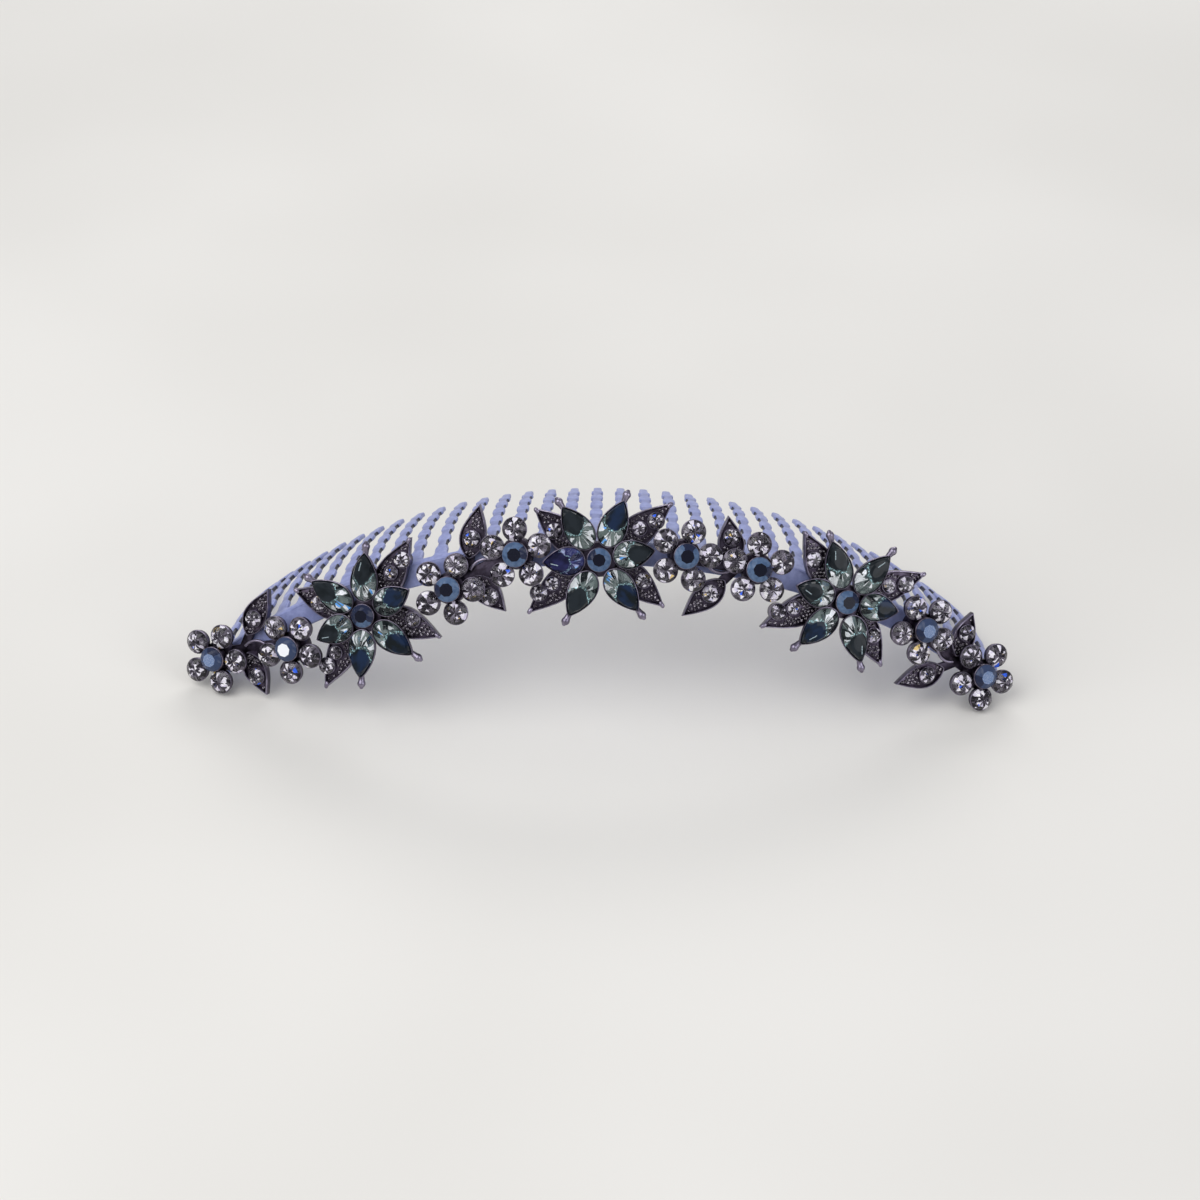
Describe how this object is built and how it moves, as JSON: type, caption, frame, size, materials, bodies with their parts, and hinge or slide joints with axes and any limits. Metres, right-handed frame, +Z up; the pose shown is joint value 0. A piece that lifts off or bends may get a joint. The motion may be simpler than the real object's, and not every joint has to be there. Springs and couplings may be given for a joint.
{
  "type": "tiara comb",
  "caption": "Arched metal tiara comb with curved notched teeth, set along its front with large drop-stone flowers, sprays of small round-stone flowers and jewelled leaves.",
  "frame": {"origin": "middle of the bounding box's underside, on the surface that the comb stands on", "axes": "+X along the length, -Y towards the front that shows the flowers, +Y towards the tips of the teeth, +Z up"},
  "size_m": [0.1698, 0.0467, 0.0487],
  "materials": {
    "comb_metal": "satin lavender blue enamel over metal",
    "setting_metal": "polished dark gunmetal plate with a violet sheen",
    "clear_stone": "clear faceted stone over dark foil",
    "blue_stone": "opaque slate blue faceted stone",
    "drop_stone": "grey green drop-shaped faceted stone, dark towards its tip",
    "violet_stone": "dark violet drop-shaped faceted stone"
  },
  "bodies": {
    "root": {"comb": "comb_metal", "spray_setting_1": "setting_metal", "blue_stone_1_left": "blue_stone", "petal_stones_1_left": "clear_stone", "blue_stone_1_right": "blue_stone", "petal_stones_1_right": "clear_stone", "leaf_stones_1": "clear_stone", "spray_setting_2": "setting_metal", "blue_stone_2_left": "blue_stone", "petal_stones_2_left": "clear_stone", "blue_stone_2_right": "blue_stone", "petal_stones_2_right": "clear_stone", "leaf_stones_2": "clear_stone", "spray_setting_3": "setting_metal", "blue_stone_3_left": "blue_stone", "petal_stones_3_left": "clear_stone", "blue_stone_3_right": "blue_stone", "petal_stones_3_right": "clear_stone", "leaf_stones_3": "clear_stone", "spray_setting_4": "setting_metal", "blue_stone_4_left": "blue_stone", "petal_stones_4_left": "clear_stone", "blue_stone_4_right": "blue_stone", "petal_stones_4_right": "clear_stone", "leaf_stones_4": "clear_stone", "flower_setting_1": "setting_metal", "heart_stone_1": "blue_stone", "sepal_stones_1": "clear_stone", "drop_stone_1_1": "drop_stone", "drop_stone_1_2": "drop_stone", "drop_stone_1_3": "drop_stone", "drop_stone_1_4": "drop_stone", "drop_stone_1_5": "drop_stone", "drop_stone_1_6": "drop_stone", "flower_setting_2": "setting_metal", "heart_stone_2": "blue_stone", "sepal_stones_2": "clear_stone", "drop_stone_2_1": "drop_stone", "drop_stone_2_2": "drop_stone", "drop_stone_2_3": "drop_stone", "drop_stone_2_4": "violet_stone", "drop_stone_2_5": "drop_stone", "drop_stone_2_6": "drop_stone", "flower_setting_3": "setting_metal", "heart_stone_3": "blue_stone", "sepal_stones_3": "clear_stone", "drop_stone_3_1": "drop_stone", "drop_stone_3_2": "drop_stone", "drop_stone_3_3": "drop_stone", "drop_stone_3_4": "drop_stone", "drop_stone_3_5": "drop_stone", "drop_stone_3_6": "drop_stone"}
  },
  "joints": []
}
